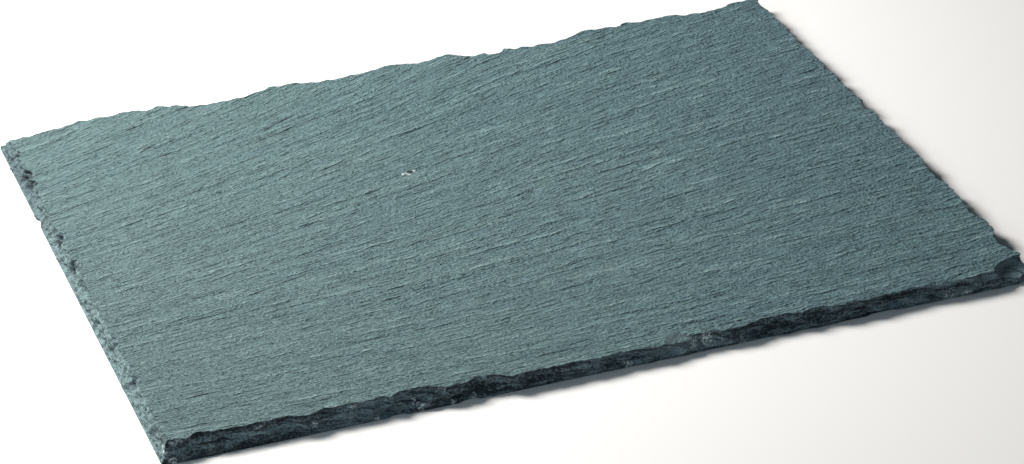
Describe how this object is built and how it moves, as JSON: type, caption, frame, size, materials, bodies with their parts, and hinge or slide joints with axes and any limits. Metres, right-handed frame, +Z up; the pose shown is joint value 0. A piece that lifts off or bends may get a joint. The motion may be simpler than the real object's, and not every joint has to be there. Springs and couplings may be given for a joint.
{
  "type": "slate slab",
  "caption": "Flat rectangular slab of riven slate with a rippled cleft top face, hand-dressed chipped edges and one broken corner, used as a serving board, tile or display base.",
  "frame": {"origin": "on the underside, below the middle of the slab", "axes": "+X along the long front edge to the right, +Y from the front edge to the back edge, +Z up out of the riven top face"},
  "size_m": [0.4, 0.3, 0.0086],
  "materials": {
    "slate": "riven blue-grey slate, matt with a faint sheen, darker on the freshly broken edges"
  },
  "bodies": {
    "root": {"slab": "slate"}
  },
  "joints": []
}
